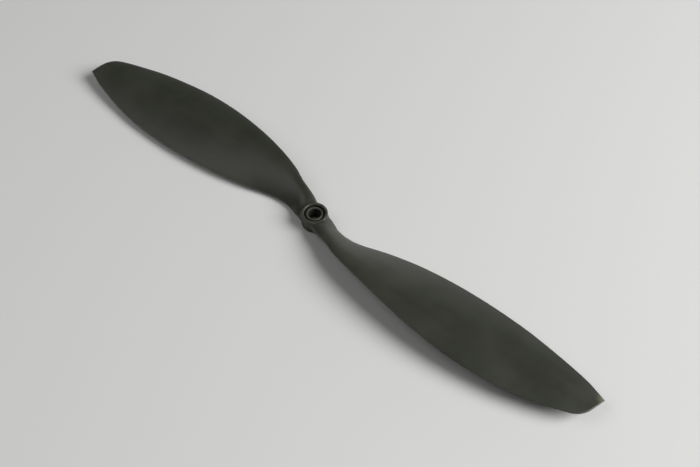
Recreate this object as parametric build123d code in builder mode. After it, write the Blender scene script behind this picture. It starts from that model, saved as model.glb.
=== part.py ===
"""Two-blade slow-flyer propeller for a radio-controlled model, with its shaft adapter ring.

The propeller is one moulding of glass-filled nylon: a short barrel hub and two thin,
wide, cambered blades with raked tips. It is divided here into the hub and the two
blades, at a flat face across each blade root, so that each has a solid of its own.
A loose adapter ring sits in the recess of the hub and brings the bore down to the shaft.

Frame: millimetres. The origin is the centre of the hub's rear face. +Z is the shaft
axis and points forward, the way the propeller pulls. +X runs along the first blade.
The leading edge of that blade faces -Y and is its high edge, so the propeller turns
clockwise as seen from the front.
"""
import os
from math import atan, cos, degrees, pi, radians, sin, sqrt

from build123d import *

# ---------- driving dimensions ----------
diameter = 304.8  # twelve inches, tip to tip
pitch = 96.5  # advance in one turn: 3.8 inches

hub_diameter = 12.5
hub_thickness = 7.6
hub_front_edge = 0.25  # small round on the front rim
hub_rear_edge = 0.8  # round on the rear rim
hub_bore = 6.45  # a quarter-inch shaft turns in it, with no ring in the recess
bore_lead = 0.3  # chamfer at the rear end of the bore

ring_rest = 0.825  # radial, how far the ring reaches over the ledge round the hub's bore
ring_height = 3.0
ring_outer_edge = 0.3
ring_inner_edge = 0.25
shaft_diameter = 6.0
shaft_clearance = 0.05  # radial, round the motor shaft
seat_clearance = 0.05  # radial, between the ring and its recess
ring_sink = 0.5  # how far the ring's face lies below the hub's rim
relief_width = 0.9  # radial, the wider mouth of the recess
relief_depth = 2.0

root_length = 4.8  # from the hub's barrel to the flat face between hub and blade
root_depth = 5.0  # how far the innermost section lies inside the barrel
root_twist = 36.0  # degrees, the most that the blade is twisted
twist_fade = 1.0  # the twist is full this far beyond the root face, and fades inside it
camber = 0.04  # height of the section's arch, as a share of the chord
thickest_at = 0.35  # share of the chord, from the leading edge
trailing_share = 0.45  # thickness of the trailing edge, as a share of the thickest
tip_rake = 13.5  # degrees, between the tip's edge and square across the blade
tip_corner = 12.0  # radius of the leading corner of the tip
tip_overrun = 2.0  # length of blade that the tip cut takes off

section_count = 25  # evenly spaced sections that the blade is lofted through

# The blade's plan, from the hub to the tip:
# share of the span, chord, forward sweep and height of mid-chord, thickness
stations = [
    (0.00, 10.0, 0.4, 4.0, 5.6),
    (0.035, 12.4, 1.7, 4.4, 5.4),
    (0.0625, 13.2, 3.0, 4.7, 4.8),
    (0.10, 14.1, 4.4, 5.1, 4.2),
    (0.155, 18.0, 5.6, 6.0, 3.5),
    (0.245, 25.0, 5.0, 7.2, 2.9),
    (0.355, 31.2, 4.3, 7.6, 2.5),
    (0.475, 35.2, 3.8, 7.2, 2.3),
    (0.595, 36.4, 3.2, 6.4, 2.0),
    (0.715, 34.1, 2.3, 5.8, 1.8),
    (0.80, 30.2, 1.7, 5.7, 1.6),
    (0.87, 25.0, 0.9, 6.1, 1.4),
    (0.93, 19.6, 0.2, 6.6, 1.2),
    (1.00, 12.0, -0.4, 7.0, 1.0),
]
chord_points = (0.75, 0.5, 0.3, 0.12, 0.03)  # shares of the chord between its edges

# ---------- sizes that follow ----------
tip_radius = diameter / 2
hub_radius = hub_diameter / 2
root_face = hub_radius + root_length
blade_start = hub_radius - root_depth
full_twist_radius = root_face + twist_fade
span = tip_radius - blade_start
ring_radius = hub_bore / 2 + ring_rest
seat_radius = ring_radius + seat_clearance
relief_radius = ring_radius + relief_width
seat_floor = hub_thickness - ring_sink - ring_height
ring_bore_radius = shaft_diameter / 2 + shaft_clearance
ring_edge_limit = 0.3 * (ring_radius - ring_bore_radius)  # keeps a flat between the chamfers


def twist_at(radius):
    """Degrees of twist: the helix of the pitch, eased into the twist of the root."""
    helix = degrees(atan(pitch / (2 * pi * radius)))
    eased = (helix**-4 + root_twist**-4) ** -0.25
    return eased * min(1.0, radius / full_twist_radius)


def half_thickness(share, thickness):
    """Half the section's thickness at a share of its chord: round nose, thin tail."""
    if share < thickest_at:
        return thickness / 2 * sqrt(1 - (1 - share / thickest_at) ** 2)
    tail = (share - thickest_at) / (1 - thickest_at)
    return thickness / 2 * (1 - (1 - trailing_share) * tail**2)


def section_outline(radius, chord, sweep, height, thickness):
    """Points of one section, as (Y, Z): trailing edge, over the nose, trailing edge."""
    twist = radians(twist_at(radius))

    def place(share, side):
        along = (share - 0.5) * chord
        arch = 4 * camber * chord * share * (1 - share)
        across = arch + side * half_thickness(share, thickness)
        y = along * cos(twist) + across * sin(twist) - sweep
        z = across * cos(twist) - along * sin(twist) + height
        return (y, z)

    upper = [place(share, 1) for share in (1.0, *chord_points)]
    lower = [place(share, -1) for share in (*reversed(chord_points), 1.0)]
    return [*upper, place(0.0, 0), *lower]


def slope_at(index, column):
    """Slope of one column of the plan at a station, from its neighbours."""
    before = stations[max(index - 1, 0)]
    after = stations[min(index + 1, len(stations) - 1)]
    return (after[column] - before[column]) / (after[0] - before[0])


def plan_at(share):
    """Chord, sweep, height and thickness at any share of the span: smooth cubics."""
    index = max(i for i, station in enumerate(stations[:-1]) if station[0] <= share)
    start, end = stations[index], stations[index + 1]
    width = end[0] - start[0]
    t = (share - start[0]) / width
    values = []
    for column in range(1, len(start)):
        rise = end[column] - start[column]
        first = slope_at(index, column) * width
        second = slope_at(index + 1, column) * width
        bend = t * (1 - t)
        value = start[column] + rise * t
        value += bend * ((1 - t) * (first - rise) - t * (second - rise))
        values.append(value)
    return values


def section_radius(share):
    return blade_start + share * span


# ---------- one blade, from inside the hub to its raked tip ----------
past_end = 1 + tip_overrun / span
shares = [past_end * index / (section_count - 1) for index in range(section_count)]

# the tip's edge starts at the trailing corner and leans back towards the hub
tip_outline = section_outline(tip_radius, *plan_at(1.0))
trailing_tip = max(tip_outline)[0]
tip_chord = trailing_tip - min(tip_outline)[0]
inner_share = 1 - tip_chord / span
inner_radius = section_radius(inner_share)
inner_outline = section_outline(inner_radius, *plan_at(inner_share))
reach = tip_chord * 3
trailing_corner = Vector(tip_radius, trailing_tip)
tip_lean = Vector(-sin(radians(tip_rake)), -cos(radians(tip_rake)))
leading_tip = Vector(tip_radius, min(tip_outline)[0])
leading_inner = Vector(inner_radius, min(inner_outline)[0])
leading_way = (leading_inner - leading_tip).normalized()
# where the tip's edge meets the line of the leading edge
gap = leading_tip - trailing_corner
meet = gap.cross(leading_way).Z / tip_lean.cross(leading_way).Z
leading_corner = trailing_corner + tip_lean * meet
tip_outer = trailing_corner - tip_lean * reach
edge_end = leading_corner + leading_way * reach + tip_lean * tip_corner

with BuildPart() as whole_blade:
    for share in shares:
        radius = section_radius(share)
        across_blade = Plane(origin=(radius, 0, 0), x_dir=(0, 1, 0), z_dir=(1, 0, 0))
        with BuildSketch(across_blade):
            with BuildLine():
                outline = section_outline(radius, *plan_at(share))
                Spline(*outline)
                Line(outline[-1], outline[0])
            make_face()
    loft()
    with BuildSketch(Plane.XY.offset(-hub_thickness)) as past_tip:
        with BuildLine():
            FilletPolyline(tip_outer, leading_corner, edge_end, radius=tip_corner)
            Polyline(
                edge_end,
                (edge_end.X, edge_end.Y - reach),
                (tip_radius + reach, edge_end.Y - reach),
                (tip_radius + reach, tip_outer.Y),
                tip_outer,
            )
        make_face()
    extrude(amount=hub_thickness * 4, mode=Mode.SUBTRACT)

opposite_blade = whole_blade.part.rotate(Axis.Z, 180)

# ---------- hub: barrel, blade roots, bore and the ring's recess ----------
with BuildPart() as hub:
    with BuildSketch(Plane.XY):
        Circle(hub_radius)
    extrude(amount=hub_thickness)
    fillet(hub.edges().group_by(Axis.Z)[-1], hub_front_edge)
    fillet(hub.edges().group_by(Axis.Z)[0], hub_rear_edge)
    add(whole_blade.part)
    add(opposite_blade)
    split(bisect_by=Plane.YZ.offset(root_face), keep=Keep.BOTTOM)
    split(bisect_by=Plane.YZ.offset(-root_face), keep=Keep.TOP)
    with BuildSketch(Plane.XY):
        Circle(hub_bore / 2)
    extrude(amount=hub_thickness, mode=Mode.SUBTRACT)
    with BuildSketch(Plane.XY.offset(seat_floor)):
        Circle(seat_radius)
    extrude(amount=hub_thickness, mode=Mode.SUBTRACT)
    with BuildSketch(Plane.XY.offset(hub_thickness - relief_depth)):
        Circle(relief_radius)
    extrude(amount=hub_thickness, mode=Mode.SUBTRACT)
    rear_circles = hub.edges().filter_by(GeomType.CIRCLE).group_by(Axis.Z)[0]
    chamfer(rear_circles.sort_by(SortBy.RADIUS)[0], bore_lead)

# ---------- the two blades, outside the flat root faces ----------
with BuildPart() as blade_1:
    add(whole_blade.part)
    split(bisect_by=Plane.YZ.offset(root_face), keep=Keep.TOP)

with BuildPart() as blade_2:
    add(opposite_blade)
    split(bisect_by=Plane.YZ.offset(-root_face), keep=Keep.BOTTOM)

# ---------- adapter ring, resting on the floor of the recess ----------
with BuildPart() as adapter_ring:
    with BuildSketch(Plane.XY.offset(seat_floor)):
        Circle(ring_radius)
        Circle(ring_bore_radius, mode=Mode.SUBTRACT)
    extrude(amount=ring_height)
    for end in (0, -1):
        rims = adapter_ring.edges().group_by(Axis.Z)[end].sort_by(SortBy.RADIUS)
        chamfer(rims[0], min(ring_inner_edge, ring_edge_limit))
        rims = adapter_ring.edges().group_by(Axis.Z)[end].sort_by(SortBy.RADIUS)
        chamfer(rims[-1], min(ring_outer_edge, ring_edge_limit))

# ---------- export ----------
os.makedirs("parts", exist_ok=True)
hub.part.label = "hub"
blade_1.part.label = "blade_1"
blade_2.part.label = "blade_2"
adapter_ring.part.label = "adapter_ring"
for piece in (hub, blade_1, blade_2, adapter_ring):
    label = piece.part.label
    export_step(piece.part, f"parts/{label}.step")
    box = piece.part.bounding_box()
    print(label, "volume", round(piece.part.volume, 1), "box", box.min, box.max)
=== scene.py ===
# %% [markdown]
# # A two-blade slow-flyer propeller
# This lesson builds the looks of a moulded propeller for a radio-controlled model: a
# short barrel hub, two wide thin blades with raked tips, and a loose adapter ring.
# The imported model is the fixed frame. Everything made here lands on it, in metres, with
# the shaft along +Z and the first blade along +X.

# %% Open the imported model
from functools import partial
from math import atan2, cos, degrees, pi, radians, sin, sqrt, tan

import bmesh
import bpy
from mathutils import Matrix, Vector


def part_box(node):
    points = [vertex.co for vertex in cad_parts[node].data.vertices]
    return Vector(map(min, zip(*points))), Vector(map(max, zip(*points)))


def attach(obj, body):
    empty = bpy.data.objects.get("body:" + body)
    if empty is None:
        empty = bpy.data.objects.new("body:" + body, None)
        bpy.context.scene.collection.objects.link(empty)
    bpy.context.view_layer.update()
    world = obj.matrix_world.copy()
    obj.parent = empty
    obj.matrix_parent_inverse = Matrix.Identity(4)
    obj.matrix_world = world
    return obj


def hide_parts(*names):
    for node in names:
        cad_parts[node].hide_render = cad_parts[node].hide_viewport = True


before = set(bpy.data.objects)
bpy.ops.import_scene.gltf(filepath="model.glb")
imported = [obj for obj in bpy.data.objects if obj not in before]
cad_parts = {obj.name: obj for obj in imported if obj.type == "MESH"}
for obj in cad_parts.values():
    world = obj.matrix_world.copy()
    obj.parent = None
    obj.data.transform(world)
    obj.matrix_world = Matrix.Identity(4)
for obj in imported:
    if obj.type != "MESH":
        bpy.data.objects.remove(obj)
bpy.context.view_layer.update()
print("CAD nodes:", ", ".join(sorted(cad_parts)))

# %% [markdown]
# ## Sizes
# The overall sizes are read from the frame, so the visible moulding always fits the
# packed one. The rest are the small sizes that a box can't tell: rounds, fillets and
# the rule of the blade. All are in millimetres until they are used.

# %% Sizes in millimetres
MM = 0.001
tip_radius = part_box("blade_1")[1].x / MM
root_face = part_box("blade_1")[0].x / MM
ring_low, ring_high = (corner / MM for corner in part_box("adapter_ring"))
ring_outer = ring_high.x

hub_radius = 6.25
hub_height = 7.6
front_round = 0.35
rear_round = 0.8
hub_bore = 3.225
bore_lead = 0.3
seat_clearance = 0.05
relief_width = 0.9
relief_depth = 2.0
mouth_chamfer = 0.25
ring_bore = 3.05
ring_round = 0.3

pitch = 96.5  # how far one turn would screw the blade forward
root_twist = 36.0  # degrees, the most that a blade is turned
root_depth = 5.0  # how deep in the barrel a blade starts
twist_fade = 1.0
root_fillet = 1.2
edge_round = 0.45
camber = 0.04  # the rise of the section's arch, as a share of the chord
thickest_at = 0.35  # share of the chord, from the nose
trailing_share = 0.45  # share of the thickness that is left at the tail
tip_rake = 13.5  # degrees
tip_corner = 12.0

seat_radius = ring_outer + seat_clearance
relief_radius = ring_outer + relief_width
blade_start = hub_radius - root_depth
full_twist_radius = root_face + twist_fade
span = tip_radius - blade_start
print("tip radius", round(tip_radius, 2), "mm, hub height", hub_height, "mm")

# %% [markdown]
# ## One way to add a node
# Every shader and geometry tree below is built by this one function: it adds a node,
# sets its properties, and gives its inputs a value or a link. Arithmetic is most of a
# rule, so a kind written in capitals, such as "ADD", is that step of a Math node.


# %% The node helper
def add_node(tree, kind, *values, sockets=None, **settings):
    """Adds a node. values fill its inputs in order, and sockets by name or number.
    A value may be a number, a socket, or a node, which gives its first output."""
    if kind.isupper():
        kind, settings["operation"] = "ShaderNodeMath", kind
    node = tree.nodes.new(kind)
    for name, value in settings.items():
        setattr(node, name, value)
    for key, value in [*enumerate(values), *(sockets or {}).items()]:
        if isinstance(value, bpy.types.Node):
            value = value.outputs[0]
        if isinstance(value, bpy.types.NodeSocket):
            tree.links.new(value, node.inputs[key])
        else:
            node.inputs[key].default_value = value
    return node


def linear(hex_colour):
    """An sRGB hex colour as the linear RGBA that Blender's sockets hold."""
    parts = [int(hex_colour[i:i + 2], 16) / 255 for i in (1, 3, 5)]
    low = [c / 12.92 if c <= 0.04045 else ((c + 0.055) / 1.055) ** 2.4 for c in parts]
    return (*low, 1.0)


print("the middle grey #808080 is", round(linear("#808080")[0], 3), "in linear light")

# %% [markdown]
# ## The plan of the blade
# A propeller blade follows a rule. Each section sits at a radius, and is turned by the
# angle of the helix that the pitch gives there. The chord, the sweep, the height and
# the thickness change smoothly along the span, so each is a curve from 0 to 1.

# %% The blade's plan, along its span
# share of the span, chord, forward sweep and height of mid-chord, thickness
stations = [
    (0.00, 10.0, 0.4, 4.0, 5.6),
    (0.035, 12.4, 1.7, 4.4, 5.4),
    (0.0625, 13.2, 3.0, 4.7, 4.8),
    (0.10, 14.1, 4.4, 5.1, 4.2),
    (0.155, 18.0, 5.6, 6.0, 3.5),
    (0.245, 25.0, 5.0, 7.2, 2.9),
    (0.355, 31.2, 4.3, 7.6, 2.5),
    (0.475, 35.2, 3.8, 7.2, 2.3),
    (0.595, 36.4, 3.2, 6.4, 2.0),
    (0.715, 34.1, 2.3, 5.8, 1.8),
    (0.80, 30.2, 1.7, 5.7, 1.6),
    (0.87, 25.0, 0.9, 6.1, 1.4),
    (0.93, 19.6, 0.2, 6.6, 1.2),
    (1.00, 12.0, -0.4, 7.0, 1.0),
]
print("widest chord", max(station[1] for station in stations), "mm")


def plan_at(share):
    """Chord, sweep, height and thickness at a share of the span, by smooth cubics."""
    share = min(max(share, 0.0), 1.0)
    last = len(stations) - 1
    index = max(i for i in range(last) if stations[i][0] <= share)
    start, end = stations[index], stations[index + 1]
    before, after = stations[max(index - 1, 0)], stations[min(index + 2, last)]
    width = end[0] - start[0]
    t = (share - start[0]) / width
    values = []
    for column in range(1, len(start)):
        rise = end[column] - start[column]
        first = (end[column] - before[column]) / (end[0] - before[0]) * width
        second = (after[column] - start[column]) / (after[0] - start[0]) * width
        bend = t * (1 - t) * ((1 - t) * (first - rise) - t * (second - rise))
        values.append(start[column] + rise * t + bend)
    return values


# %% [markdown]
# ## The raked tip
# The tip is a straight edge that leans back towards the hub, and its leading corner is
# rounded. The outline is found once, as how far each share of the chord stops short of
# the full radius, and the geometry tree reads it as one more curve.


# %% How far the tip's edge drops back
def edge_at(radius, leading):
    """The Y of the leading or trailing edge in plan."""
    chord, sweep = plan_at((radius - blade_start) / span)[:2]
    return (-chord if leading else chord) / 2 - sweep


lean = Vector((-sin(radians(tip_rake)), -cos(radians(tip_rake))))
trailing_tip = Vector((tip_radius, edge_at(tip_radius, False)))
leading_tip = Vector((tip_radius, edge_at(tip_radius, True)))
inner_radius = tip_radius - (trailing_tip - leading_tip).length
leading_way = (Vector((inner_radius, edge_at(inner_radius, True))) - leading_tip).normalized()
gap = leading_tip - trailing_tip
meet = gap.cross(leading_way) / lean.cross(leading_way)
corner = trailing_tip + lean * meet
set_back = tip_corner * tan(lean.angle(leading_way) / 2)
line_end = corner - lean * set_back
inward = Vector((lean.y, -lean.x))
corner_centre = line_end + inward * tip_corner
steepest = 0.97
settling_steps = 40


def tip_edge(y):
    """Radius of the tip's edge at a Y: the raked line, then the rounded corner."""
    if y >= line_end.y:
        return tip_radius - (trailing_tip.y - y) * tan(radians(tip_rake))
    sideways = min(abs(y - corner_centre.y) / tip_corner, steepest)
    return corner_centre.x + tip_corner * sqrt(1 - sideways**2)


def tip_drop(share):
    """How far the tip stops short of the full radius, at a share of the chord.
    The radius and the edges' Y depend on each other, so they are settled in steps."""
    radius = tip_radius
    for _ in range(settling_steps):
        leading, trailing = edge_at(radius, True), edge_at(radius, False)
        y = leading + (trailing - leading) * share
        radius = (radius + tip_edge(y)) / 2
    return tip_radius - radius


drop_steps = 16
drops = [(step / drop_steps, tip_drop(step / drop_steps)) for step in range(drop_steps + 1)]
print("the tip drops back by up to", round(max(drop for share, drop in drops), 2), "mm")

# %% [markdown]
# ## The blade as a geometry tree
# The blade could be drawn by hand, but its shape is a rule, so Geometry Nodes is the
# better tool: a round tube of plain points is made first, and then every point is
# placed by its two shares, how far along the span and how far round the section.
# Each size is a named input, so the same tree could make the next propeller.

# %% The tree's inputs
blade_tree = bpy.data.node_groups.new("blade_by_rule", "GeometryNodeTree")
blade_tree.is_modifier = True
interface = blade_tree.interface
interface.new_socket("Geometry", in_out="OUTPUT", socket_type="NodeSocketGeometry")
blade_sizes = {
    "Tip radius": tip_radius,
    "Start radius": blade_start,
    "Pitch": pitch,
    "Root twist": radians(root_twist),
    "Full twist radius": full_twist_radius,
    "Camber": camber,
    "Thickest at": thickest_at,
    "Trailing share": trailing_share,
    "Hub radius": hub_radius,
    "Hub height": hub_height,
    "Root fillet": root_fillet,
    "Edge round": edge_round,
}
blade_counts = {"Rows": 260, "Points round": 96}
socket_ids = {}
kinds = [(name, "NodeSocketFloat") for name in blade_sizes]
kinds += [(name, "NodeSocketInt") for name in blade_counts]
kinds += [("Material", "NodeSocketMaterial")]
for name, kind in kinds:
    socket_ids[name] = interface.new_socket(name, in_out="INPUT", socket_type=kind).identifier
blade = partial(add_node, blade_tree)
size = blade("NodeGroupInput").outputs
print("inputs:", ", ".join(socket_ids))


# %% [markdown]
# The tube is a straight line swept by a circle. The two shares are stored before the
# sweep, because afterwards a point no longer knows where it came from. The rows crowd
# together at the hub and at the tip, where the shape changes fastest.

# %% A tube of plain points that know their shares
index = blade("GeometryNodeInputIndex")
line = blade("GeometryNodeCurvePrimitiveLine", sockets={"End": (1, 0, 0)})
rows = blade("GeometryNodeResampleCurve", sockets={"Curve": line, "Count": size["Rows"]})
circle = blade("GeometryNodeCurvePrimitiveCircle", sockets={"Resolution": size["Points round"]})
along_index = blade("DIVIDE", index, blade("SUBTRACT", size["Rows"], 1.0))
round_index = blade("DIVIDE", index, size["Points round"])
marked = []
for curve, value in ((rows, along_index), (circle, round_index)):
    capture = blade("GeometryNodeCaptureAttribute", curve, domain="POINT")
    capture.capture_items.new("FLOAT", "share")
    blade_tree.links.new(value.outputs[0], capture.inputs[1])
    marked.append(capture)
tube = blade("GeometryNodeCurveToMesh",
             sockets={"Curve": marked[0], "Profile Curve": marked[1], "Fill Caps": True})
along, around = marked[0].outputs[1], marked[1].outputs[1]
print("tube:", blade_counts["Rows"], "rows of", blade_counts["Points round"], "points")

crowding = 0.72  # 0 spaces the rows evenly
angle = blade("MULTIPLY", around, 2 * pi)
wave = blade("SINE", blade("MULTIPLY", along, 2 * pi))
eased = blade("SUBTRACT", along, blade("MULTIPLY", wave, crowding / (2 * pi)))
chord_share = blade("MULTIPLY_ADD", blade("COSINE", angle), 0.5, 0.5)
side = blade("SIGN", blade("SINE", angle))
blade_span = blade("SUBTRACT", size["Tip radius"], size["Start radius"])


# %% [markdown]
# A curve node turns a share into a size. The same function makes all five: the tip's
# drop, and the four columns of the plan. The plan is read at the point's real radius,
# after the raked tip has pulled it back.

# %% Curves of the plan
def read_curve(share, points):
    """A float curve through (share, value) points, times its highest value."""
    top = max(value for place, value in points)
    node = blade("ShaderNodeFloatCurve", sockets={"Value": share})
    curve = node.mapping.curves[0]
    while len(curve.points) < len(points):
        curve.points.new(0.5, 0.5)
    for handle, (place, value) in zip(curve.points, points):
        handle.location = (place, value / top)
    node.mapping.update()
    return blade("MULTIPLY", node, top)


raked_part = 0.72  # the drop fades in beyond this share of the span
drop = read_curve(chord_share, drops)
nominal = blade("MULTIPLY_ADD", eased, blade_span, size["Start radius"])
near_tip = blade("ShaderNodeMapRange", eased, raked_part, 1.0, interpolation_type="SMOOTHSTEP")
near_tip = blade("POWER", near_tip, 2.0)
radius = blade("SUBTRACT", nominal, blade("MULTIPLY", drop, near_tip))
span_share = blade("DIVIDE", blade("SUBTRACT", radius, size["Start radius"]), blade_span)
plan_steps = 40
samples = [step / plan_steps for step in range(plan_steps + 1)]
plan = [list(zip(samples, column)) for column in zip(*map(plan_at, samples))]
chord, sweep, height, thickness = [read_curve(span_share, column) for column in plan]
print("curves with", len(drops), "and", len(samples), "points")

# %% [markdown]
# The section itself is an arched line with a thickness on both sides: a round nose, a
# thin tail, a small round at the trailing edge, and the same round at the tip.

# %% The section
sharpness = 4.0  # how suddenly the helix gives way to the root's own twist
helix = blade("ARCTANGENT", blade("DIVIDE", size["Pitch"], blade("MULTIPLY", radius, 2 * pi)))
both = blade("ADD", blade("POWER", helix, -sharpness),
             blade("POWER", size["Root twist"], -sharpness))
fade = blade("MINIMUM", blade("DIVIDE", radius, size["Full twist radius"]), 1.0)
twist = blade("MULTIPLY", blade("POWER", both, -1 / sharpness), fade)


def quarter_round(distance, reach):
    """0 at distance 0, rising as a quarter circle to 1 at reach and beyond."""
    left = blade("SUBTRACT", 1.0, blade("MINIMUM", blade("DIVIDE", distance, reach), 1.0))
    inside = blade("SUBTRACT", 1.0, blade("MULTIPLY", left, left))
    return blade("SQRT", blade("MAXIMUM", inside, 0.0))


nose = quarter_round(chord_share, size["Thickest at"])
past = blade("MAXIMUM", blade("SUBTRACT", chord_share, size["Thickest at"]), 0.0)
tail = blade("DIVIDE", past, blade("SUBTRACT", 1.0, size["Thickest at"]))
thin_share = blade("SUBTRACT", 1.0, size["Trailing share"])
thinning = blade("MULTIPLY", thin_share, blade("MULTIPLY", tail, tail))
body = blade("MULTIPLY", nose, blade("SUBTRACT", 1.0, thinning))
from_trailing = blade("MULTIPLY", blade("SUBTRACT", 1.0, chord_share), chord)
from_tip = blade("SUBTRACT", size["Tip radius"], nominal)
blunt_tip = 0.25  # share of the thickness that is left where the tip's cap closes
trailing_round = quarter_round(from_trailing, size["Edge round"])
tip_round = blade("MAXIMUM", quarter_round(from_tip, size["Edge round"]), blunt_tip)
half = blade("MULTIPLY", blade("MULTIPLY", thickness, 0.5),
             blade("MULTIPLY", body, blade("MULTIPLY", trailing_round, tip_round)))
hump = blade("MULTIPLY", chord_share, blade("SUBTRACT", 1.0, chord_share))
arch = blade("MULTIPLY", blade("MULTIPLY", size["Camber"], 4.0), blade("MULTIPLY", chord, hump))
chordwise = blade("MULTIPLY", blade("SUBTRACT", chord_share, 0.5), chord)
upward = blade("MULTIPLY_ADD", side, half, arch)
tip_angle = degrees(atan2(pitch, 2 * pi * tip_radius))
print("the helix at the tip stands at", round(tip_angle, 1), "degrees")

# %% [markdown]
# Where the blade meets the barrel, a moulding has a fillet and never a sharp inside
# corner. Here each point is pushed outwards by the profile of a quarter circle as it
# nears the barrel, mostly across the section and less along it. A smooth limit then
# holds the root just under the barrel's front rim, and clear of its rear face.

# %% The fillet at the root
turn_cos, turn_sin = blade("COSINE", twist), blade("SINE", twist)
chordwise_flare = 0.35
rim_gap = 0.03
rim_slope = 0.6
rim_blend = 2.0
rear_gap = 0.35
rear_blend = 0.5


def turned_y(chordwise, upward):
    """Y of a point of the section, turned by the twist and swept."""
    back = blade("MULTIPLY_ADD", chordwise, turn_cos, blade("MULTIPLY", upward, turn_sin))
    return blade("SUBTRACT", back, sweep)


def turned_z(chordwise, upward):
    """Z of a point of the section, turned by the twist and raised."""
    up = blade("SUBTRACT", blade("MULTIPLY", upward, turn_cos),
               blade("MULTIPLY", chordwise, turn_sin))
    return blade("ADD", up, height)


plain_y = turned_y(chordwise, upward)
from_axis = blade("SQRT", blade("MULTIPLY_ADD", radius, radius,
                                blade("MULTIPLY", plain_y, plain_y)))
clear = blade("MAXIMUM", blade("SUBTRACT", from_axis, size["Hub radius"]), 0.0)
nearness = blade("SUBTRACT", 1.0, quarter_round(clear, size["Root fillet"]))
flare = blade("MULTIPLY", nearness, size["Root fillet"])
outwards = blade("MULTIPLY", blade("COSINE", angle), chordwise_flare)
flared = (blade("MULTIPLY_ADD", flare, outwards, chordwise),
          blade("MULTIPLY_ADD", flare, blade("SINE", angle), upward))
y, z = turned_y(*flared), turned_z(*flared)
ceiling = blade("ADD", blade("MULTIPLY_ADD", clear, rim_slope, size["Hub height"]), -rim_gap)
z = blade("SMOOTH_MIN", z, ceiling, rim_blend)
z = blade("SMOOTH_MAX", z, rear_gap, rear_blend)
print("held between", rear_gap, "and", round(hub_height - rim_gap, 2), "mm at the barrel")

# %% [markdown]
# One attribute is kept for the material: how many millimetres a point is from a thin
# edge, where handling rubs the nylon. The thick root has no thin edge, so it counts as
# far away. The second blade is the first one turned half a turn, and the tree ends with
# real geometry and its material.

# %% Place the points, and turn a second blade
thick_until, thin_from, far_away = 0.05, 0.2, 3.0
position = blade("ShaderNodeCombineXYZ", radius, y, z)
in_metres = blade("ShaderNodeVectorMath", position, sockets={"Scale": MM}, operation="SCALE")
placed = blade("GeometryNodeSetPosition", tube, sockets={"Position": in_metres})
to_edge = blade("MINIMUM", from_trailing, from_tip)
thick_root = blade("ShaderNodeMapRange", span_share, thick_until, thin_from, far_away, 0.0)
edge_gap = blade("ADD", to_edge, thick_root)
stored = blade("GeometryNodeStoreNamedAttribute",
               sockets={"Geometry": placed, "Name": "edge_gap", "Value": edge_gap},
               data_type="FLOAT", domain="POINT")
points = blade("GeometryNodePoints", 2)
half_turns = blade("ShaderNodeCombineXYZ", 0.0, 0.0, blade("MULTIPLY", index, pi))
copies = blade("GeometryNodeInstanceOnPoints", points,
               sockets={"Instance": stored, "Rotation": half_turns})
real = blade("GeometryNodeRealizeInstances", copies)
coated = blade("GeometryNodeSetMaterial", real, sockets={"Material": size["Material"]})
blade("NodeGroupOutput", coated)
print("blade tree has", len(blade_tree.nodes), "nodes")

# %% [markdown]
# ## The nylon
# The moulding is glass-filled nylon, injection moulded in a fine-textured tool. The eye
# gets a dark olive grey with a soft sheen that never turns into a sharp highlight.
# Colour comes in layers, as it does on the real part: slow clouds where the pigment
# and glass are unevenly mixed, flow lines where the melt ran along the blade, and paler
# nylon where handling has rubbed the thin edges.

# %% A pattern in the nylon
smooth = {"interpolation_type": "SMOOTHSTEP"}


def pattern(shader, place, spacing, stretch=(1, 1, 1), turn=0.0, detail=3.0):
    """Noise with features spacing mm apart, drawn out along the axes where stretch is small."""
    mapped = shader("ShaderNodeMapping", place,
                    sockets={"Rotation": (0, 0, turn), "Scale": stretch})
    return shader("ShaderNodeTexNoise", mapped,
                  sockets={"Scale": 1 / (spacing * MM), "Detail": detail}).outputs[0]


print("one millimetre of pattern is a noise scale of", 1 / MM)

# %% [markdown]
# A fine spark-eroded tool leaves grains about 0.1 mm apart, which is too fine to show,
# so they are drawn 0.7 mm apart. The sheen is broken up by very slight waves, a few
# hundredths of a millimetre deep, because a thin moulding never cools quite flat.

# %% Sizes of the nylon's patterns
# sizes, depths and distances in mm, ranges of the noise or of the distance from a thin
# edge, and the share by which each layer shows
cloud_size, cloud_range = 17.0, (0.3, 0.7)
flow_size, flow_share = 3.5, 0.25
scratch_size, scratch_range, scratch_share = 1.1, (0.72, 0.8), 0.12
rub_range, rub_share = (0.05, 0.5), 0.75
patch_size, patch_range, patch_least = 3.0, (0.38, 0.6), 0.35
worn_core, worn_radius, worn_share, worn_colour = 0.5, 5.0, 0.7, "#77755a"
roughness_spread, rub_roughness = 0.16, 0.1
grain_size, grain_depth, grain_strength = 0.7, 0.04, 0.35
wave_size, wave_depth, wave_strength = 12.0, 0.12, 0.4
nylon_ior = 1.53
print("clouds", cloud_size, "mm, flow lines", flow_size, "mm, waves", wave_size, "mm apart")

# %% [markdown]
# The colour is built in layers: each one is laid over the ones before it, by its own
# share. One function makes both nylons, because the hub with its blades and the ring
# come from the same kind of tool. nylon_ior is nylon's index of refraction.


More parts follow.
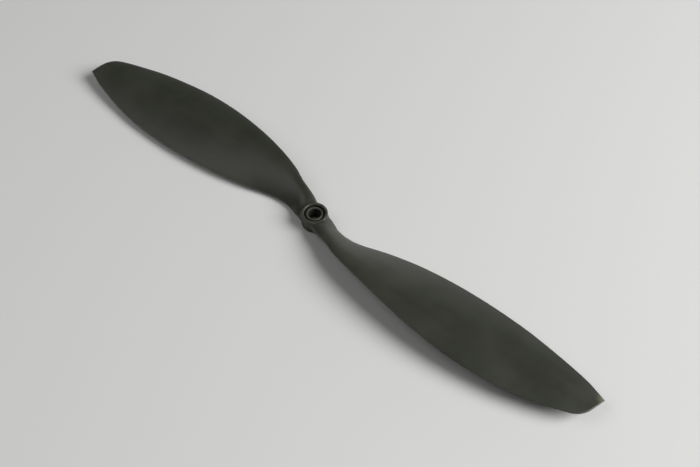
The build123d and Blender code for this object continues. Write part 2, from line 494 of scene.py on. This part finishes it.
# %% The moulded nylon material
def moulded_nylon(name, dark, pale, rubbed, roughness, dull_spot=None):
    """Dark moulded nylon. dull_spot is the centre of a worn patch, in mm, if it has one."""
    material = bpy.data.materials.new(name)
    material.use_nodes = True
    tree = material.node_tree
    tree.nodes.clear()
    shader = partial(add_node, tree)
    place = shader("ShaderNodeTexCoord").outputs["Object"]

    cloud = pattern(shader, place, cloud_size, detail=4.0)
    flow = pattern(shader, place, flow_size, stretch=(0.12, 1, 1), detail=2.0)
    shade = shader("MULTIPLY_ADD", flow, flow_share, shader("MULTIPLY", cloud, 1 - flow_share))
    mottled = shader("ShaderNodeMapRange", shade, *cloud_range, **smooth)
    scratch = pattern(shader, place, scratch_size, stretch=(0.05, 1, 1), turn=radians(28),
                      detail=1.0)
    scratched = shader("ShaderNodeMapRange", scratch, *scratch_range, 0.0, scratch_share, **smooth)

    gap = shader("ShaderNodeAttribute", attribute_name="edge_gap").outputs["Fac"]
    near_edge = shader("ShaderNodeMapRange", gap, *rub_range, 1.0, 0.0, **smooth)
    patch = pattern(shader, place, patch_size)
    patches = shader("ShaderNodeMapRange", patch, *patch_range, patch_least, 1.0, **smooth)
    rub = shader("MULTIPLY", near_edge, patches)

    layers = [(mottled, pale), (scratched, rubbed), (shader("MULTIPLY", rub, rub_share), rubbed)]
    if dull_spot:
        centre = [value * MM for value in dull_spot]
        away = shader("ShaderNodeVectorMath", place, centre, operation="DISTANCE").outputs["Value"]
        worn = shader("ShaderNodeMapRange", away, worn_core * MM, worn_radius * MM,
                      worn_share, 0.0, **smooth)
        layers.append((worn, worn_colour))
    colour = linear(dark)
    for share, layer in layers:  # a colour mix has its two colours in sockets 6 and 7
        mixed = shader("ShaderNodeMix", data_type="RGBA",
                       sockets={0: share, 6: colour, 7: linear(layer)})
        colour = mixed.outputs[2]

    uneven = shader("MULTIPLY_ADD", cloud, roughness_spread, roughness - roughness_spread / 2)
    rough = shader("MULTIPLY_ADD", rub, rub_roughness, uneven)
    grain = pattern(shader, place, grain_size, detail=2.0)
    waves = pattern(shader, place, wave_size, stretch=(0.4, 1, 1), detail=1.0)
    wavy = shader("ShaderNodeBump",
                  sockets={"Height": waves, "Strength": wave_strength,
                           "Distance": wave_depth * MM})
    bump = shader("ShaderNodeBump",
                  sockets={"Height": grain, "Strength": grain_strength,
                           "Distance": grain_depth * MM, "Normal": wavy})
    surface = shader("ShaderNodeBsdfPrincipled",
                     sockets={"Base Color": colour, "Roughness": rough, "IOR": nylon_ior,
                              "Normal": bump})
    shader("ShaderNodeOutputMaterial", surface)
    return material


worn_height = 6.5
worn_corner = (trailing_tip.x, trailing_tip.y, worn_height)
# a dark olive grey with a soft, even sheen, and one tip corner worn dull and pale
blade_nylon = moulded_nylon("glass_filled_nylon_moulded", "#272920", "#32342b", "#55584a", 0.44,
                            dull_spot=worn_corner)
# a shade darker and a little smoother than the blades
ring_nylon = moulded_nylon("ring_nylon_moulded", "#25271f", "#2d3027", "#585a4d", 0.42)
print("materials:", blade_nylon.name, "and", ring_nylon.name)

# %% [markdown]
# ## The moulding
# The two blades come from the tree, the barrel is turned on a lathe, and the three are
# joined into one closed skin, as they leave the mould. The bore, the ring's seat and
# the relief round it are then cut by one turned cutter.

# %% A lathe
def turned_solid(name, profile, steps=128):
    """A closed solid of revolution round Z from (radius, height) points in mm."""
    mesh = bpy.data.meshes.new(name)
    builder = bmesh.new()
    rings = []
    for radius, height in profile:
        if radius == 0:
            rings.append([builder.verts.new((0, 0, height * MM))])
            continue
        ring = []
        for step in range(steps):
            turn = 2 * pi * step / steps
            x, y = radius * cos(turn) * MM, radius * sin(turn) * MM
            ring.append(builder.verts.new((x, y, height * MM)))
        rings.append(ring)
    closed = profile[0][0] > 0
    pairs = list(zip(rings, rings[1:] + rings[:1] if closed else rings[1:]))
    for lower, upper in pairs:
        for step in range(steps):
            following = (step + 1) % steps
            corners = [lower[step % len(lower)], lower[following % len(lower)],
                       upper[following % len(upper)], upper[step % len(upper)]]
            unique = list(dict.fromkeys(corners))
            if len(unique) > 2:
                builder.faces.new(unique)
    bmesh.ops.recalc_face_normals(builder, faces=builder.faces)
    builder.to_mesh(mesh)
    builder.free()
    solid = bpy.data.objects.new(name, mesh)
    bpy.context.scene.collection.objects.link(solid)
    return solid


def rounded(radius, height, amount, start, end, steps=6):
    """Points of a round of the profile's corner, centred inside it, by two angles."""
    angles = [radians(start + (end - start) * step / steps) for step in range(steps + 1)]
    return [(radius + amount * cos(angle), height + amount * sin(angle)) for angle in angles]


barrel_profile = [(0, 0)]
barrel_profile += rounded(hub_radius - rear_round, rear_round, rear_round, -90, 0)
barrel_profile += rounded(hub_radius - front_round, hub_height - front_round, front_round, 0, 90)
barrel_profile += [(0, hub_height)]
barrel = turned_solid("barrel", barrel_profile)
print("barrel:", len(barrel.data.polygons), "faces")

# %% [markdown]
# The tree runs as a modifier on an empty mesh. Its inputs are set first, each by the
# identifier of its socket, and the result is then kept as a plain mesh, because a
# finished piece carries no live modifier.


# %% The blades from their tree
def keep_result(piece):
    """Makes what the modifiers of a piece give into its own plain mesh."""
    bpy.context.view_layer.update()
    depsgraph = bpy.context.evaluated_depsgraph_get()
    result = bpy.data.meshes.new_from_object(piece.evaluated_get(depsgraph))
    piece.modifiers.clear()
    piece.data = result


blades = bpy.data.objects.new("blades", bpy.data.meshes.new("blades"))
bpy.context.scene.collection.objects.link(blades)
modifier = blades.modifiers.new("blade_by_rule", "NODES")
modifier.node_group = blade_tree
for name, value in {**blade_sizes, **blade_counts, "Material": blade_nylon}.items():
    modifier[socket_ids[name]] = value
blades.update_tag()
keep_result(blades)
print("blades:", len(blades.data.vertices), "points")

# %% [markdown]
# Boolean union joins the skins where they meet, and Boolean difference cuts the bore.
# Both are applied at once, so what is left is one plain closed mesh. An edge with one
# face, or with three, would be a leak in the skin, so those are counted.


# %% Join, cut and count
def combine(piece, tool, operation):
    """Applies a Boolean of two closed meshes to piece, and removes the tool."""
    modifier = piece.modifiers.new("combine", "BOOLEAN")
    modifier.operation = operation
    modifier.solver = "EXACT"
    modifier.object = tool
    keep_result(piece)
    bpy.data.objects.remove(tool)


def open_edges(mesh):
    """How many edges don't have exactly two faces: 0 on a closed mesh."""
    builder = bmesh.new()
    builder.from_mesh(mesh)
    count = sum(len(edge.link_faces) != 2 for edge in builder.edges)
    builder.free()
    return count


print("open edges before:", open_edges(blades.data), "and", open_edges(barrel.data))

# %% [markdown]
# Handling rubs the hub's rims as it rubs the thin edges of the blades. The rims get the
# same attribute as the blades have, so the nylon's material wears both in one way.


# %% Mark the rims
def mark_rims(piece, rims, within):
    """Stores how far each point inside a radius is from the nearest round rim, in mm."""
    mesh = piece.data
    gaps = mesh.attributes.get("edge_gap") or mesh.attributes.new("edge_gap", "FLOAT", "POINT")
    for point, gap in zip(mesh.vertices, gaps.data):
        radius, height = point.co.xy.length / MM, point.co.z / MM
        if radius <= within:
            gap.value = min(sqrt((radius - r) ** 2 + (height - h) ** 2) for r, h in rims)


rim_margin = 0.01
print("rims are marked up to", rim_margin, "mm outside the hub and the ring")

# %% [markdown]
# The cutter has the shape of the hole, from the rear to the front: the shaft's bore with
# a small lead-in, the seat of the ring, and the wider relief with its chamfered mouth. It
# stands proud of both faces, so that it cuts clean through them.

# %% The cutter
seat_floor = ring_low.z
relief_floor = hub_height - relief_depth
mouth_radius = relief_radius + mouth_chamfer
clear_of_hub = 1
below, above = -clear_of_hub, hub_height + clear_of_hub
cutter_profile = [
    (0, below), (hub_bore + bore_lead + clear_of_hub, below), (hub_bore, bore_lead),
    (hub_bore, seat_floor), (seat_radius, seat_floor), (seat_radius, relief_floor),
    (relief_radius, relief_floor), (relief_radius, hub_height - mouth_chamfer),
    (mouth_radius, hub_height), (mouth_radius, above), (0, above),
]
cutter = turned_solid("bore_cutter", cutter_profile)
print("cutter:", len(cutter.data.polygons), "faces, seat at", round(seat_floor, 2), "mm")

# %% [markdown]
# The moulding is shaded smooth, apart from where its faces meet at a real corner, such
# as the mouth of the bore. It rides the propeller's body and stands in for the three
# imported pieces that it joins.

# %% One moulding
smooth_below = radians(38)
propeller = blades
propeller.name = "propeller_moulding"
combine(propeller, barrel, "UNION")
combine(propeller, cutter, "DIFFERENCE")
propeller.data.name = "propeller_moulding"
propeller.data.shade_smooth()
propeller.data.set_sharp_from_angle(angle=smooth_below)
propeller.data.materials.clear()
propeller.data.materials.append(blade_nylon)
hub_rims = [(hub_radius, hub_height), (relief_radius, hub_height)]
mark_rims(propeller, hub_rims, hub_radius + rim_margin)
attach(propeller, "propeller")
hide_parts("hub", "blade_1", "blade_2")
print("moulding:", len(propeller.data.polygons), "faces,",
      open_edges(propeller.data), "open edges")

# %% [markdown]
# ## The adapter ring
# The ring is turned on the same lathe: a plain short tube with its four edges rounded,
# as a small moulded part has. It rests on the floor of its seat.

# %% The ring
outer, inner = ring_outer - ring_round, ring_bore + ring_round
low, high = ring_low.z + ring_round, ring_high.z - ring_round
round_centres = [(outer, low, -90), (outer, high, 0), (inner, high, 90), (inner, low, 180)]
ring_profile = []
for radius_there, height_there, start in round_centres:
    ring_profile += rounded(radius_there, height_there, ring_round, start, start + 90)
ring = turned_solid("shaft_adapter_ring", ring_profile)
ring.data.materials.append(ring_nylon)
ring.data.shade_smooth()
ring_rims = [(ring_outer, ring_high.z), (ring_bore, ring_high.z)]
mark_rims(ring, ring_rims, ring_outer + rim_margin)
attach(ring, "ring")
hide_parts("adapter_ring")
print("ring:", len(ring.data.polygons), "faces,", open_edges(ring.data), "open edges")

# %% [markdown]
# ## The studio
# The propeller lies on its hub's rear face, on a plain pale floor. The floor is matt, so
# it takes soft shadows and mirrors nothing.

# %% Floor
floor_mesh = bpy.data.meshes.new("floor")
floor_half = 3.0  # metres
floor_corners = [(-1, -1), (1, -1), (1, 1), (-1, 1)]
floor_points = [(x * floor_half, y * floor_half, 0) for x, y in floor_corners]
floor_mesh.from_pydata(floor_points, [], [(0, 1, 2, 3)])
floor = bpy.data.objects.new("floor", floor_mesh)
bpy.context.scene.collection.objects.link(floor)
# nearly white and matt, so that it shows the shadow and no mirror image
paper = bpy.data.materials.new("pale_paper")
paper.use_nodes = True
paper_shader = paper.node_tree.nodes["Principled BSDF"]
paper_shader.inputs["Base Color"].default_value = linear("#dadad9")
paper_shader.inputs["Roughness"].default_value = 0.9
floor.data.materials.append(paper)
print("floor:", 2 * floor_half, "m wide")

# %% [markdown]
# The room gives a low glow on the far side and is dim elsewhere. Dark nylon shows
# mostly what its sheen picks up, and a sky that is bright all over would turn the flat
# of a blade pale. So the brightness follows how far a direction leans to the glow.

# %% The room's glow
world = bpy.data.worlds.new("studio")
bpy.context.scene.world = world
world.use_nodes = True
studio = partial(add_node, world.node_tree)
direction = studio("ShaderNodeTexCoord").outputs["Generated"]
far_and_low = (-0.33, 0.95, -1.4)
dim, bright = 0.08, 1.1
lean_to_glow = studio("ShaderNodeVectorMath", direction, far_and_low, operation="DOT_PRODUCT")
glow = studio("ShaderNodeMapRange", lean_to_glow.outputs["Value"], 0.1, 1.0, dim, bright, **smooth)
background = world.node_tree.nodes["Background"]
background.inputs["Color"].default_value = linear("#ffffff")
world.node_tree.links.new(glow.outputs[0], background.inputs["Strength"])
print("glow from", dim, "to", bright)

# %% [markdown]
# ## The camera
# The camera's place is worked out from how it looks at the hub: its turn round the
# shaft, its angle over the floor, its roll, its distance and how far the hub lies from
# the middle of the view.

# %% Camera
view_turn = radians(39.5)
view_height = radians(52.9)
view_roll = radians(1.4)
view_distance = 419.0
hub_left = 16.5
hub_up = 9.7
lens = 46.4
sensor = 36.0
across = Vector((cos(view_turn), sin(view_turn), 0))
level = Vector((-sin(view_turn), cos(view_turn), 0))
ahead = level * cos(view_height) - Vector((0, 0, sin(view_height)))
upright = across.cross(ahead)
rolled_across = across * cos(view_roll) + upright * sin(view_roll)
rolled_up = upright * cos(view_roll) - across * sin(view_roll)
rim_centre = Vector((0, 0, hub_height))
eye = rim_centre + rolled_across * hub_left - rolled_up * hub_up - ahead * view_distance
camera_data = bpy.data.cameras.new("camera")
camera_data.lens = lens
camera_data.sensor_width = sensor
camera = bpy.data.objects.new("camera", camera_data)
bpy.context.scene.collection.objects.link(camera)
turning = Matrix((rolled_across, rolled_up, -ahead)).transposed().to_4x4()
camera.matrix_world = Matrix.Translation(eye * MM) @ turning
bpy.context.scene.camera = camera
print("camera", [round(v) for v in eye], "mm")

# %% [markdown]
# A large soft light stands on the right and a weak one on the left, both aimed at the
# hub. The larger a light is, the softer its shadow and its sheen on the nylon.


# %% Soft lights, aimed at the hub
def soft_light(name, direction, width, power, distance=1.6):
    """A round area light, in metres and watts. Its direction is right, away and up."""
    right, away, up = direction
    way = (across * right + level * away + Vector((0, 0, up))).normalized()
    data = bpy.data.lights.new(name, "AREA")
    data.shape = "DISK"
    data.size = width
    data.energy = power
    light = bpy.data.objects.new(name, data)
    bpy.context.scene.collection.objects.link(light)
    light.location = way * distance
    light.rotation_euler = way.to_track_quat("Z", "Y").to_euler()


soft_light("key_softbox", (1.0, -0.25, 0.8), 1.1, 30)
soft_light("fill_softbox", (-0.8, -0.05, 1.0), 1.2, 4.5)
bpy.context.scene.view_settings.view_transform = "Standard"
print("lights:", ", ".join(light.name for light in bpy.data.lights))

bpy.context.view_layer.update()
